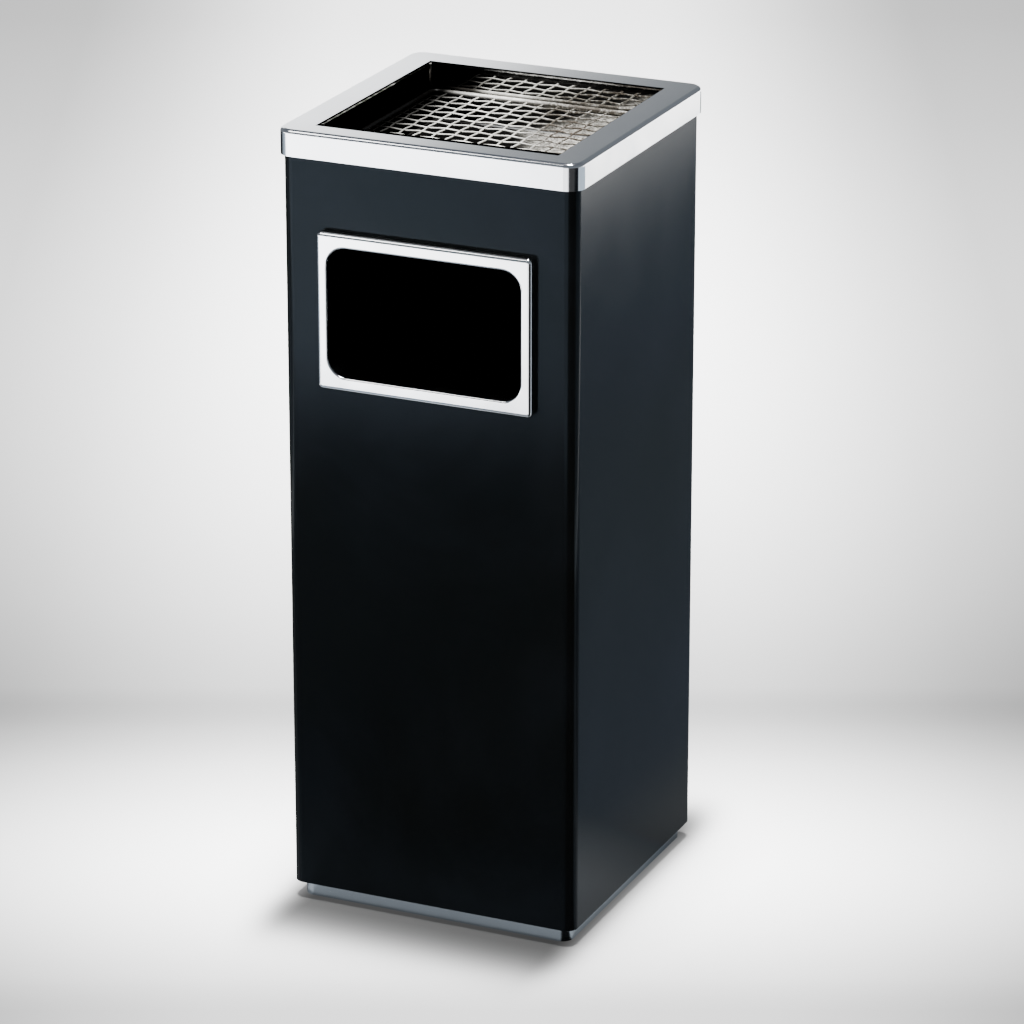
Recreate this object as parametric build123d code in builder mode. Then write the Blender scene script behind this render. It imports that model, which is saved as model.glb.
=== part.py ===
from build123d import *

import os
from math import atan2, cos, degrees, hypot, sin, sqrt

os.makedirs("parts", exist_ok=True)

# Driving sizes, in millimetres. The floor is z = 0, the front faces -Y.
overall_width = 240.0  # across the top rim
overall_height = 610.0  # floor to the rim's top face
rim_overhang = 3.0  # how far the rim stands out past the body
body_corner = 9.0  # outer radius of the body's upright folds
sheet = 1.0  # gauge of the folded steel sheets
base_height = 13.0  # floor to the body's lower edge
shell_flange = 8.0  # width of the body's turned-in upper edge

rim_skirt = 20.0  # height of the rim's outer skirt
rim_flange = 24.0  # width of the rim's top face on each side
rim_corner = 12.0
rim_bend = 3.0  # bend between the top face and the skirt
rim_lip = 5.0  # depth of the lip that turns down round the opening
opening_corner = 1.5

pan_corner = 3.0
pan_ledge = 8.0  # step in the pan's wall that carries the grid
pan_basin_corner = 6.0
pan_basin_bend = 4.0
pan_depth = 45.0  # rim's top face down to the pan's floor

grid_drop = 22.2  # rim's top face down to the grid's middle
border_radius = 2.0
border_inset = 5.0  # pan's wall to the middle of a border rod
border_corner = 6.0
wire_radius = 0.7
wire_pitch = 13.3

surround_side = 8.3  # width of the surround's face beside the opening
surround_band = 10.5  # and over and under it
surround_proud = 8.0  # how far the surround stands out of the body
surround_corner = 3.5
surround_bend = 3.0
surround_drop = 132.5  # rim's top face down to the middle of the front opening
mouth_width = 154.4
mouth_height = 99.0
mouth_corner = 15.0
mouth_bend = 1.5
mouth_return = 8.0  # how far the opening's turned edge runs inside the body
tab_length = 16.0
tab_reach = 6.0

plinth_setback = 6.0
plinth_corner = 9.0
plinth_gauge = 1.2  # of the plinth and of the base plate over it
plate_edge = 12.0  # height of the base plate's turned-up edge
plinth_flange = 13.0
plinth_lift = 1.0  # the band stops just above the floor, clear of wet ground

foot_radius = 12.0
foot_inset = 32.0  # from the body's side to a foot's middle
screw_radius = 2.5
screw_head_radius = 4.8
screw_head_height = 2.8
nut_across_flats = 8.0
nut_height = 4.0

liner_side_gap = 18.0  # between the liner and the body's inner face
liner_corner = 12.0
liner_top_gap = 16.0  # front opening down to the liner's upper edge
liner_skirt = 9.0  # the liner's floor is raised by this over its lower edge
liner_wire_radius = 2.4
bail_radius = 2.0
bail_stand = 8.0  # liner's wall to the middle of an arm
bail_overhang = 2.6  # the crossbar lies this far outside the rim wire's middle
bail_corner = 14.0
bail_hook = 2.9
pivot_drop = 16.0  # liner's upper edge down to the bail's pivots
ear_gauge = 1.5
ear_width = 20.0
ear_stand = 3.3  # liner's wall to the inner face of an ear's raised part
ear_foot = 18.0  # height of the riveted part of an ear
rivet_radius = 1.6
rivet_head_radius = 3.2
rivet_head_height = 1.2
rivet_tail_radius = 2.3

seam_gap = 0.6
seam_strip_width = 24.0
seam_strip_margin = 2.0  # short of the base plate's edge and of the upper flange

# Clearances
rest_gap = 0.3  # under each piece that lifts off
fit_gap = 0.5  # beside each piece that drops in
weld_gap = 0.1  # round each piece that is spot welded inside another
hole_gap = 0.05  # round each rivet, screw and pivot

# Heights and widths that follow from them
body_width = overall_width - 2 * rim_overhang
flange_top = overall_height - sheet
shell_top = flange_top - sheet - rest_gap
body_inside = body_width - 2 * sheet
shell_mouth = body_width - 2 * shell_flange
opening_width = overall_width - 2 * rim_flange
pan_inside = opening_width + 2 * (sheet + fit_gap)
basin_inside = pan_inside - 2 * pan_ledge
pan_flange_width = overall_width - 2 * rim_bend
pan_floor = overall_height - pan_depth
grid_height = overall_height - grid_drop
ledge_top = grid_height - border_radius - rest_gap
border_width = pan_inside - 2 * border_inset
wires_each_way = 2 * int((border_width / 2 - border_radius - 3 * wire_radius) / wire_pitch) + 1
surround_width = mouth_width + 2 * surround_side
surround_height = mouth_height + 2 * surround_band
surround_middle = overall_height - surround_drop
base_top = base_height + plinth_gauge
liner_width = body_inside - 2 * liner_side_gap
liner_top = surround_middle - mouth_height / 2 - liner_top_gap
liner_bottom = base_top + rest_gap
liner_floor_top = liner_bottom + liner_skirt + sheet
pivot_height = liner_top - pivot_drop
plinth_width = body_width - 2 * plinth_setback
foot_place = body_width / 2 - foot_inset


def add_square(width, corner, bottom, top, mode=Mode.ADD):
    # A square prism with rounded corners about the upright axis.
    with BuildSketch(Plane.XY.offset(bottom)) as profile:
        RectangleRounded(width, width, corner)
    extrude(profile.sketch, amount=top - bottom, mode=mode)


def make_rivet(grip):
    # A rivet along +Z: its dome stands on z = 0 and its shank goes down through the grip.
    upward = (Align.CENTER, Align.CENTER, Align.MIN)
    downward = (Align.CENTER, Align.CENTER, Align.MAX)
    with BuildPart() as rivet:
        Cylinder(rivet_head_radius, rivet_head_height, align=upward)
        fillet(rivet.edges().group_by(Axis.Z)[-1], rivet_head_height * 0.8)
        Cylinder(rivet_radius, grip, align=downward)
        with Locations((0, 0, -grip)):
            Cylinder(rivet_tail_radius, rivet_head_height, align=downward)
    return rivet.part


# ---- Cabinet ----

front = Plane((0, -body_width / 2, surround_middle), x_dir=(1, 0, 0), z_dir=(0, -1, 0))

with BuildPart() as body_shell:
    add_square(body_width, body_corner, base_height, shell_top)
    add_square(body_inside, body_corner - sheet, base_height, shell_top - sheet, Mode.SUBTRACT)
    add_square(shell_mouth, 2.0, base_height, shell_top, Mode.SUBTRACT)
    cutout_margin = sheet + fit_gap
    with BuildSketch(front):
        RectangleRounded(
            mouth_width + 2 * cutout_margin, mouth_height + 2 * cutout_margin, mouth_corner + cutout_margin
        )
    extrude(amount=-2 * sheet, mode=Mode.SUBTRACT)
    # The sheet's two edges meet in an upright seam down the back.
    with Locations((0, body_width / 2, (base_height + shell_top) / 2)):
        Box(seam_gap, 2 * (shell_flange + fit_gap), shell_top - base_height, mode=Mode.SUBTRACT)

with BuildPart() as seam_strip:
    strip_bottom = base_top + plate_edge + seam_strip_margin
    strip_top = shell_top - sheet - seam_strip_margin
    with Locations((0, body_inside / 2 - sheet / 2, (strip_bottom + strip_top) / 2)):
        Box(seam_strip_width, sheet, strip_top - strip_bottom)

# Rivets tie the plinth's flange to the base plate, two on each side.
rivet_line = plinth_width / 2 - plinth_flange / 2 - 0.5
rivet_places = []
for along in (-plinth_width / 5, plinth_width / 5):
    for side in (-1, 1):
        rivet_places.append((along, side * rivet_line))
        rivet_places.append((side * rivet_line, along))

with BuildPart() as base_plate:
    plate_width = body_inside - 2 * weld_gap
    plate_corner = body_corner - sheet - weld_gap
    plate_rise = base_top + plate_edge
    add_square(plate_width, plate_corner, base_height, plate_rise)
    add_square(
        plate_width - 2 * plinth_gauge, plate_corner - plinth_gauge, base_top, plate_rise, Mode.SUBTRACT
    )
    with Locations((0, 0, base_top)):
        with GridLocations(2 * foot_place, 2 * foot_place, 2, 2):
            Hole(screw_radius + hole_gap, depth=3 * plinth_gauge)
        with Locations(*rivet_places):
            Hole(rivet_radius + hole_gap, depth=3 * plinth_gauge)

with BuildPart() as plinth_band:
    add_square(plinth_width, plinth_corner, plinth_lift, base_height)
    add_square(
        plinth_width - 2 * plinth_gauge,
        plinth_corner - plinth_gauge,
        plinth_lift,
        base_height - plinth_gauge,
        Mode.SUBTRACT,
    )
    add_square(plinth_width - 2 * plinth_flange, 2.0, plinth_lift, base_height, Mode.SUBTRACT)
    with Locations((0, 0, base_height)):
        with Locations(*rivet_places):
            Hole(rivet_radius + hole_gap, depth=3 * plinth_gauge)

with BuildPart() as plinth_rivets:
    plinth_rivet = make_rivet(2 * plinth_gauge).rotate(Axis.X, 180)
    with Locations((0, 0, base_height - plinth_gauge)):
        with Locations(*rivet_places):
            add(plinth_rivet)

screw_seat = 6.0  # floor to the underside of a screw's head, inside the foot
with BuildPart() as rubber_feet:
    with GridLocations(2 * foot_place, 2 * foot_place, 2, 2):
        Cylinder(foot_radius, base_height, align=(Align.CENTER, Align.CENTER, Align.MIN))
    chamfer(rubber_feet.edges().group_by(Axis.Z)[0], 1.0)
    with GridLocations(2 * foot_place, 2 * foot_place, 2, 2):
        Cylinder(
            screw_head_radius + 1.0,
            screw_seat,
            align=(Align.CENTER, Align.CENTER, Align.MIN),
            mode=Mode.SUBTRACT,
        )
        Cylinder(
            screw_radius + hole_gap,
            base_height,
            align=(Align.CENTER, Align.CENTER, Align.MIN),
            mode=Mode.SUBTRACT,
        )

with BuildPart() as foot_screws:
    with Locations((0, 0, screw_seat)):
        with GridLocations(2 * foot_place, 2 * foot_place, 2, 2):
            Cylinder(
                screw_head_radius, screw_head_height, align=(Align.CENTER, Align.CENTER, Align.MAX)
            )
            Cylinder(screw_radius, 14.0, align=(Align.CENTER, Align.CENTER, Align.MIN))
    fillet(foot_screws.edges().group_by(Axis.Z)[0], 1.2)

with BuildPart() as foot_nuts:
    with BuildSketch(Plane.XY.offset(base_top)):
        with GridLocations(2 * foot_place, 2 * foot_place, 2, 2):
            RegularPolygon(nut_across_flats / 2, 6, major_radius=False)
            Circle(screw_radius + hole_gap, mode=Mode.SUBTRACT)
    extrude(amount=nut_height)

with BuildPart() as surround_core:
    with BuildSketch(front):
        RectangleRounded(surround_width - 2 * sheet, surround_height - 2 * sheet, surround_corner - sheet)
    extrude(amount=surround_proud - sheet)
    fillet(surround_core.faces().sort_by(Axis.Y)[0].edges(), surround_bend - sheet)

with BuildPart() as aperture_surround:
    with BuildSketch(front):
        RectangleRounded(surround_width, surround_height, surround_corner)
    extrude(amount=surround_proud)
    fillet(aperture_surround.faces().sort_by(Axis.Y)[0].edges(), surround_bend)
    add(surround_core.part, mode=Mode.SUBTRACT)
    # The face's inner edge turns back through the body's cut-out.
    turned_depth = sheet + mouth_return
    with BuildSketch(front.offset(-turned_depth)):
        RectangleRounded(mouth_width + 2 * sheet, mouth_height + 2 * sheet, mouth_corner + sheet)
    extrude(amount=turned_depth + surround_proud)
    with BuildSketch(front.offset(-turned_depth)):
        RectangleRounded(mouth_width, mouth_height, mouth_corner)
    extrude(amount=turned_depth + surround_proud, mode=Mode.SUBTRACT)
    fillet(aperture_surround.faces().sort_by(Axis.Y)[0].inner_wires()[0].edges(), mouth_bend)
    # Six tabs are folded out behind the body's sheet and hold the surround in place.
    with BuildSketch(front.offset(-2 * sheet)):
        for side in (-1, 1):
            with Locations((0, side * (mouth_height + sheet + tab_reach) / 2)):
                with GridLocations(0.65 * mouth_width, 1, 2, 1):
                    Rectangle(tab_length, tab_reach + sheet)
            with Locations((side * (mouth_width + sheet + tab_reach) / 2, 0)):
                Rectangle(tab_reach + sheet, tab_length)
    extrude(amount=sheet)

# ---- Lift-off head ----

with BuildPart() as rim_core:
    add_square(
        overall_width - 2 * sheet, rim_corner - sheet, overall_height - rim_skirt - sheet, flange_top
    )
    fillet(rim_core.faces().sort_by(Axis.Z)[-1].edges(), rim_bend - sheet)

with BuildPart() as top_rim:
    add_square(overall_width, rim_corner, overall_height - rim_skirt, overall_height)
    fillet(top_rim.faces().sort_by(Axis.Z)[-1].edges(), rim_bend)
    add(rim_core.part, mode=Mode.SUBTRACT)
    add_square(
        opening_width + 2 * sheet, opening_corner + sheet, flange_top - rim_lip, overall_height
    )
    add_square(opening_width, opening_corner, flange_top - rim_lip, overall_height, Mode.SUBTRACT)

with BuildPart() as ash_pan:
    add_square(pan_flange_width, rim_corner - rim_bend, flange_top - sheet, flange_top)
    add_square(pan_inside + 2 * sheet, pan_corner + sheet, ledge_top - sheet, flange_top)
    add_square(basin_inside + 2 * sheet, pan_basin_corner + sheet, pan_floor - sheet, ledge_top)
    add_square(pan_inside, pan_corner, ledge_top, flange_top, Mode.SUBTRACT)
    add_square(basin_inside, pan_basin_corner, pan_floor, ledge_top, Mode.SUBTRACT)
    basin_floor = ash_pan.faces().filter_by(Plane.XY).group_by(Axis.Z)[1]
    fillet(basin_floor.edges(), pan_basin_bend)

clip_width = 20.0
clip_depth = 16.0
with BuildPart() as pan_clips:
    clip_start = pan_inside / 2 + sheet
    clip_end = shell_mouth / 2 - fit_gap
    for turn in (0, 90, 180, 270):
        side = Plane.XZ.rotated((0, 0, turn)).offset(-clip_width / 2)
        with BuildSketch(side):
            with BuildLine():
                top = flange_top - sheet
                Polyline(
                    (clip_start, top),
                    (clip_end, top),
                    (clip_end, top - clip_depth),
                    (clip_end - sheet, top - clip_depth),
                    (clip_end - sheet, top - sheet),
                    (clip_start + sheet, top - sheet),
                    (clip_start + sheet, top - clip_depth),
                    (clip_start, top - clip_depth),
                    close=True,
                )
            make_face()
        extrude(amount=clip_width)

# ---- Grid ----

with BuildPart() as grid_border:
    half = border_width / 2
    with BuildLine(Plane.XY.offset(grid_height)) as border_line:
        FilletPolyline(
            (half, -half), (half, half), (-half, half), (-half, -half), radius=border_corner, close=True
        )
    with BuildSketch(Plane(border_line.line @ 0, z_dir=border_line.line % 0)):
        Circle(border_radius)
    sweep()

wire_length = border_width - 2 * border_radius
layer_offset = wire_radius + 0.025  # the two layers of wire just touch

with BuildPart() as grid_long_wires:
    with Locations((0, 0, grid_height + layer_offset)):
        with GridLocations(wire_pitch, 1, wires_each_way, 1):
            Cylinder(wire_radius, wire_length, rotation=(90, 0, 0))

with BuildPart() as grid_cross_wires:
    with Locations((0, 0, grid_height - layer_offset)):
        with GridLocations(1, wire_pitch, 1, wires_each_way):
            Cylinder(wire_radius, wire_length, rotation=(0, 90, 0))

# ---- Liner ----

ear_out = liner_width / 2 + ear_stand
bail_arm = liner_width / 2 + bail_stand
ear_foot_top = pivot_height - 12.0
ear_rivet_height = ear_foot_top - ear_foot / 2
ear_rivet_places = []
for side in (-1, 1):
    for along in (-5.0, 5.0):
        ear_rivet_places.append((side, along))


def drill_rivet_holes(inner, outer):
    # Holes for the ears' rivets, through both side walls between two distances from the middle.
    for side, along in ear_rivet_places:
        with Locations((side * (inner + outer) / 2, along, ear_rivet_height)):
            Cylinder(
                rivet_radius + hole_gap, outer - inner, rotation=(0, 90, 0), mode=Mode.SUBTRACT
            )


with BuildPart() as liner_pail:
    add_square(liner_width, liner_corner, liner_bottom, liner_top)
    add_square(liner_width - 2 * sheet, liner_corner - sheet, liner_bottom, liner_top, Mode.SUBTRACT)
    drill_rivet_holes(liner_width / 2 - 3 * sheet, liner_width / 2 + sheet)

with BuildPart() as liner_floor:
    floor_width = liner_width - 2 * sheet - 2 * weld_gap
    floor_corner = liner_corner - sheet - weld_gap
    edge_bottom = liner_bottom + sheet
    add_square(floor_width, floor_corner, edge_bottom, liner_floor_top)
    add_square(
        floor_width - 2 * sheet,
        floor_corner - sheet,
        edge_bottom,
        liner_floor_top - sheet,
        Mode.SUBTRACT,
    )

with BuildPart() as liner_rim_wire:
    half = liner_width / 2 + liner_wire_radius
    with BuildLine(Plane.XY.offset(liner_top - liner_wire_radius)) as wire_line:
        FilletPolyline(
            (half, -half),
            (half, half),
            (-half, half),
            (-half, -half),
            radius=liner_corner + liner_wire_radius,
            close=True,
        )
    with BuildSketch(Plane(wire_line.line @ 0, z_dir=wire_line.line % 0)):
        Circle(liner_wire_radius)
    sweep()

with BuildPart() as liner_ears:
    wall = liner_width / 2
    ear_top = pivot_height + 9.0
    for side in (-1, 1):
        with BuildSketch(Plane.XZ.offset(-ear_width / 2)):
            with BuildLine():
                Polyline(
                    (side * wall, ear_foot_top - ear_foot),
                    (side * (wall + ear_gauge), ear_foot_top - ear_foot),
                    (side * (wall + ear_gauge), ear_foot_top),
                    (side * (ear_out + ear_gauge), ear_foot_top + 3.0),
                    (side * (ear_out + ear_gauge), ear_top),
                    (side * ear_out, ear_top),
                    (side * ear_out, ear_foot_top + 3.5),
                    (side * wall, ear_foot_top + 1.0),
                    close=True,
                )
            make_face()
        extrude(amount=ear_width)
        with Locations((side * (ear_out + ear_gauge / 2), 0, pivot_height)):
            Cylinder(
                bail_radius + 0.08, 2 * ear_gauge, rotation=(0, 90, 0), mode=Mode.SUBTRACT
            )
    fillet(liner_ears.edges().filter_by(Axis.X).group_by(Axis.Z)[-1], 7.0)
    drill_rivet_holes(wall - ear_gauge, wall + 2 * ear_gauge)

with BuildPart() as ear_rivets:
    for side, along in ear_rivet_places:
        dome = Plane((side * (wall + ear_gauge), along, ear_rivet_height), z_dir=(side, 0, 0))
        with Locations(dome):
            add(make_rivet(ear_gauge + sheet))

# The bail lies on the front of the liner's rim wire. Its hooked ends turn in the ears.
touch = liner_wire_radius + bail_radius + rest_gap
bar_y = liner_width / 2 + liner_wire_radius + bail_overhang
bar_rise = liner_top - liner_wire_radius + sqrt(touch**2 - bail_overhang**2) - pivot_height
bail_angle = atan2(bar_rise, bar_y)
bail_length = hypot(bar_rise, bar_y)

with BuildPart() as bail_wire:
    bail_plane = Plane(
        (0, 0, pivot_height), x_dir=(1, 0, 0), z_dir=(0, -sin(bail_angle), -cos(bail_angle))
    )
    hook_end = ear_out - 2.0
    with BuildLine(bail_plane) as bail_line:
        FilletPolyline(
            (hook_end, 0),
            (bail_arm, 0),
            (bail_arm, bail_length),
            (-bail_arm, bail_length),
            (-bail_arm, 0),
            (-hook_end, 0),
            radius=(bail_hook, bail_corner, bail_corner, bail_hook),
        )
    with BuildSketch(Plane(bail_line.line @ 0, z_dir=bail_line.line % 0)):
        Circle(bail_radius)
    sweep()

# The surround stands out past the rim at the front, so everything moves back by half of that:
# the origin is then the middle of the whole footprint, on the floor.
footprint_shift = (body_width / 2 + surround_proud - overall_width / 2) / 2

pieces = {
    "body_shell": body_shell,
    "seam_strip": seam_strip,
    "base_plate": base_plate,
    "plinth_band": plinth_band,
    "plinth_rivets": plinth_rivets,
    "rubber_feet": rubber_feet,
    "foot_screws": foot_screws,
    "foot_nuts": foot_nuts,
    "aperture_surround": aperture_surround,
    "top_rim": top_rim,
    "ash_pan": ash_pan,
    "pan_clips": pan_clips,
    "grid_border": grid_border,
    "grid_long_wires": grid_long_wires,
    "grid_cross_wires": grid_cross_wires,
    "liner_pail": liner_pail,
    "liner_floor": liner_floor,
    "liner_rim_wire": liner_rim_wire,
    "liner_ears": liner_ears,
    "ear_rivets": ear_rivets,
    "bail_wire": bail_wire,
}
for name, piece in pieces.items():
    placed = piece.part.moved(Location((0, footprint_shift, 0)))
    placed.label = name
    export_step(placed, f"parts/{name}.step")

print("bail rest angle", round(degrees(bail_angle), 2), "swing", round(180 - 2 * degrees(bail_angle), 2))
print("footprint shift", footprint_shift, "pivot height", pivot_height)
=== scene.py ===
import math

import bpy
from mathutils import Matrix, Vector


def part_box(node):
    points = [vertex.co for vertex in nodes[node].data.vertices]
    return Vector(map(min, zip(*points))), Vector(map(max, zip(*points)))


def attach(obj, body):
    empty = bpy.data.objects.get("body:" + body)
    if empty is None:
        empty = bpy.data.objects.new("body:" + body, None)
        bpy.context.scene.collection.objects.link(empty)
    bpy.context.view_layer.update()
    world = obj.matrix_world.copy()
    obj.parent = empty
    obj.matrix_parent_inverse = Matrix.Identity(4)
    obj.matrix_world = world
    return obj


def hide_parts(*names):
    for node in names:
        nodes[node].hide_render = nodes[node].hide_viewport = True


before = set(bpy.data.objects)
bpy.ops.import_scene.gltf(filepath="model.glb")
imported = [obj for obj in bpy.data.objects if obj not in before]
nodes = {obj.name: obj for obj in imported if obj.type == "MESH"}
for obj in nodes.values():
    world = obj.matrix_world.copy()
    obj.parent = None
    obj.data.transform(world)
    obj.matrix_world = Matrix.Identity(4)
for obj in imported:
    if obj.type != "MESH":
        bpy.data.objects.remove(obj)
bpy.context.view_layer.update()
print("frame loaded:", len(nodes), "nodes")

millimetre = 0.001


def deselectAll():
    if bpy.context.mode != "OBJECT":
        bpy.ops.object.mode_set(mode="OBJECT")
    bpy.ops.object.select_all(action="DESELECT")


def makeActive(piece):
    deselectAll()
    piece.select_set(True)
    bpy.context.view_layer.objects.active = piece


# Camera, at the height of someone looking slightly down on the bin
cameraView = {
    "azimuth": 24.12,
    "elevation": 20.2,
    "distance": 3.781,
    "aim": (0.015, 0.002, 0.294),
    "lens": 175.8,
}


def addCamera(view):
    turn = math.radians(view["azimuth"])
    tilt = math.radians(view["elevation"])
    back = Vector((math.sin(turn) * math.cos(tilt), -math.cos(turn) * math.cos(tilt), math.sin(tilt)))
    place = Vector(view["aim"]) + back * view["distance"]
    bpy.ops.object.camera_add(location=place, rotation=(math.pi / 2 - tilt, 0, turn))
    camera = bpy.context.object
    camera.name = "viewCamera"
    camera.data.sensor_width = 36
    camera.data.lens = view["lens"]
    bpy.context.scene.camera = camera


deselectAll()
addCamera(cameraView)


# Small helpers for building node trees
def newMaterial(name):
    material = bpy.data.materials.new(name)
    material.use_nodes = True
    tree = material.node_tree
    tree.nodes.clear()
    output = tree.nodes.new("ShaderNodeOutputMaterial")
    output.location = (600, 0)
    return material, tree, output


def addNode(tree, kind, place=(0, 0), **settings):
    node = tree.nodes.new(kind)
    node.location = place
    for key, value in settings.items():
        setattr(node, key, value)
    return node


def setRamp(ramp, stops):
    elements = ramp.color_ramp.elements
    while len(elements) > 1:
        elements.remove(elements[-1])
    elements[0].position = stops[0][0]
    elements[0].color = (*stops[0][1], 1)
    for position, color in stops[1:]:
        element = elements.new(position)
        element.color = (*color, 1)


def grey(value):
    return (value, value, value)


def addSocket(group, name, direction, kind="NodeSocketFloat", value=None):
    socket = group.interface.new_socket(name=name, in_out=direction, socket_type=kind)
    if value is not None:
        socket.default_value = value
    return socket


# Shared effects, as node groups
def buildSmudgeGroup():
    # Soft uneven patches left by wiping: puts out a roughness and a mask
    group = bpy.data.node_groups.new("wipeMarks", "ShaderNodeTree")
    addSocket(group, "Size", "INPUT", value=14.0)
    addSocket(group, "Smooth", "INPUT", value=0.1)
    addSocket(group, "Rough", "INPUT", value=0.2)
    addSocket(group, "Roughness", "OUTPUT")
    addSocket(group, "Mask", "OUTPUT")
    inside = addNode(group, "NodeGroupInput", (-800, 0))
    outside = addNode(group, "NodeGroupOutput", (600, 0))
    place = addNode(group, "ShaderNodeTexCoord", (-1000, -200))
    patches = addNode(group, "ShaderNodeTexNoise", (-500, 100))
    patches.inputs["Detail"].default_value = 4
    patches.inputs["Roughness"].default_value = 0.55
    patches.inputs["Distortion"].default_value = 0.6
    spread = addNode(group, "ShaderNodeMapRange", (-200, 100), interpolation_type="SMOOTHSTEP")
    spread.inputs["From Min"].default_value = 0.35
    spread.inputs["From Max"].default_value = 0.72
    blend = addNode(group, "ShaderNodeMapRange", (200, 0))
    group.links.new(place.outputs["Object"], patches.inputs["Vector"])
    group.links.new(inside.outputs["Size"], patches.inputs["Scale"])
    group.links.new(patches.outputs["Fac"], spread.inputs["Value"])
    group.links.new(spread.outputs["Result"], blend.inputs["Value"])
    group.links.new(inside.outputs["Smooth"], blend.inputs["To Min"])
    group.links.new(inside.outputs["Rough"], blend.inputs["To Max"])
    group.links.new(blend.outputs["Result"], outside.inputs["Roughness"])
    group.links.new(spread.outputs["Result"], outside.inputs["Mask"])
    return group


def buildBrushGroup():
    # Fine straight scratches from polishing or rolling, along one axis
    group = bpy.data.node_groups.new("fineGrain", "ShaderNodeTree")
    addSocket(group, "Stretch", "INPUT", "NodeSocketVector", (40.0, 2000.0, 2000.0))
    addSocket(group, "Grain", "OUTPUT")
    inside = addNode(group, "NodeGroupInput", (-800, 0))
    outside = addNode(group, "NodeGroupOutput", (500, 0))
    place = addNode(group, "ShaderNodeTexCoord", (-1000, -200))
    scale = addNode(group, "ShaderNodeVectorMath", (-550, 0), operation="MULTIPLY")
    lines = addNode(group, "ShaderNodeTexNoise", (-300, 0))
    lines.inputs["Scale"].default_value = 1.0
    lines.inputs["Detail"].default_value = 3.0
    lines.inputs["Roughness"].default_value = 0.7
    group.links.new(place.outputs["Object"], scale.inputs[0])
    group.links.new(inside.outputs["Stretch"], scale.inputs[1])
    group.links.new(scale.outputs["Vector"], lines.inputs["Vector"])
    group.links.new(lines.outputs["Fac"], outside.inputs["Grain"])
    return group


def buildDustGroup():
    # Dust that settles on faces that look up: puts out a mask
    group = bpy.data.node_groups.new("settledDust", "ShaderNodeTree")
    addSocket(group, "Amount", "INPUT", value=0.2)
    addSocket(group, "Mask", "OUTPUT")
    inside = addNode(group, "NodeGroupInput", (-800, -200))
    outside = addNode(group, "NodeGroupOutput", (600, 0))
    facing = addNode(group, "ShaderNodeNewGeometry", (-1000, 100))
    split = addNode(group, "ShaderNodeSeparateXYZ", (-800, 100))
    upward = addNode(group, "ShaderNodeMapRange", (-600, 100), interpolation_type="SMOOTHSTEP")
    upward.inputs["From Min"].default_value = 0.6
    upward.inputs["From Max"].default_value = 1.0
    place = addNode(group, "ShaderNodeTexCoord", (-1000, -400))
    specks = addNode(group, "ShaderNodeTexNoise", (-600, -300))
    specks.inputs["Scale"].default_value = 260
    specks.inputs["Detail"].default_value = 5
    spread = addNode(group, "ShaderNodeMapRange", (-350, -300))
    spread.inputs["From Min"].default_value = 0.45
    spread.inputs["From Max"].default_value = 0.7
    both = addNode(group, "ShaderNodeMath", (-100, 0), operation="MULTIPLY")
    scaled = addNode(group, "ShaderNodeMath", (150, 0), operation="MULTIPLY")
    group.links.new(facing.outputs["Normal"], split.inputs["Vector"])
    group.links.new(split.outputs["Z"], upward.inputs["Value"])
    group.links.new(place.outputs["Object"], specks.inputs["Vector"])
    group.links.new(specks.outputs["Fac"], spread.inputs["Value"])
    group.links.new(upward.outputs["Result"], both.inputs[0])
    group.links.new(spread.outputs["Result"], both.inputs[1])
    group.links.new(both.outputs["Value"], scaled.inputs[0])
    group.links.new(inside.outputs["Amount"], scaled.inputs[1])
    group.links.new(scaled.outputs["Value"], outside.inputs["Mask"])
    return group


wipeMarks = buildSmudgeGroup()
fineGrain = buildBrushGroup()
settledDust = buildDustGroup()


def placeGroup(tree, group, place, **values):
    node = addNode(tree, "ShaderNodeGroup", place)
    node.node_tree = group
    for name, value in values.items():
        node.inputs[name].default_value = value
    return node


# Black paint on the folded body
paint = {
    "color": (0.0052, 0.0055, 0.0048),
    "patchColor": (0.0088, 0.0098, 0.0112),
    "index": 1.165,
    "sheen": (0.58, 0.78, 1.0),  # tint of the gloss
    "smooth": 0.11,
    "rough": 0.16,
    "peel": 900.0,
    "peelDepth": 0.00002,
}


def makeBodyPaint():
    material, tree, output = newMaterial("bodyPaint")
    shader = addNode(tree, "ShaderNodeBsdfPrincipled", (300, 0))
    shader.inputs["IOR"].default_value = paint["index"]
    shader.inputs["Specular Tint"].default_value = (*paint["sheen"], 1)
    marks = placeGroup(tree, wipeMarks, (-400, 0), Size=5.0, Smooth=paint["smooth"], Rough=paint["rough"])
    tint = addNode(tree, "ShaderNodeMix", (0, 200), data_type="RGBA")
    tint.inputs[6].default_value = (*paint["color"], 1)
    tint.inputs[7].default_value = (*paint["patchColor"], 1)
    place = addNode(tree, "ShaderNodeTexCoord", (-800, -300))
    peel = addNode(tree, "ShaderNodeTexNoise", (-400, -300))
    peel.inputs["Scale"].default_value = paint["peel"]
    peel.inputs["Detail"].default_value = 2
    bump = addNode(tree, "ShaderNodeBump", (0, -300))
    bump.inputs["Strength"].default_value = 0.25
    bump.inputs["Distance"].default_value = paint["peelDepth"]
    tree.links.new(marks.outputs["Mask"], tint.inputs[0])
    tree.links.new(tint.outputs[2], shader.inputs["Base Color"])
    tree.links.new(marks.outputs["Roughness"], shader.inputs["Roughness"])
    tree.links.new(place.outputs["Object"], peel.inputs["Vector"])
    tree.links.new(peel.outputs["Fac"], bump.inputs["Height"])
    tree.links.new(bump.outputs["Normal"], shader.inputs["Normal"])
    tree.links.new(shader.outputs[0], output.inputs[0])
    return material


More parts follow.
